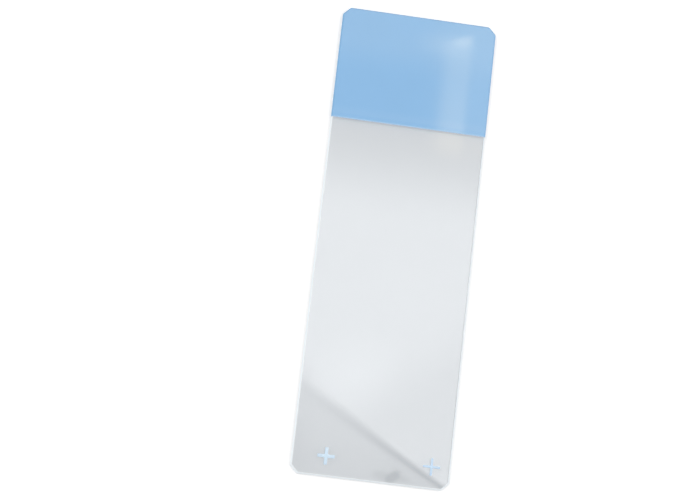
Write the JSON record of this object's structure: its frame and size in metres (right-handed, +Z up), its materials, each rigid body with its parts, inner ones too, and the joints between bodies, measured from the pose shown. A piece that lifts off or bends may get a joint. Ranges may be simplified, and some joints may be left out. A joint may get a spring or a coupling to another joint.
{
  "type": "microscope slide",
  "caption": "Clear glass microscope slide with clipped corners, ground edges, a pale blue opaque marking area at one end and small plus signs at the other.",
  "frame": {"origin": "centre of the underside of the glass, which lies on the table", "axes": "+Y along the slide's length towards the marking area, +Z up out of the printed face, +X across the width"},
  "size_m": [0.025, 0.075, 0.001],
  "materials": {
    "clear_glass": "soda-lime glass, polished faces and finely ground edges",
    "label_ink": "baked screen ink, opaque pale blue, satin",
    "mark_ink": "thin baked screen ink, paler blue, satin"
  },
  "bodies": {
    "root": {"glass_plate": "clear_glass", "label_coating": "label_ink", "corner_mark_left": "mark_ink", "corner_mark_right": "mark_ink"}
  },
  "joints": []
}
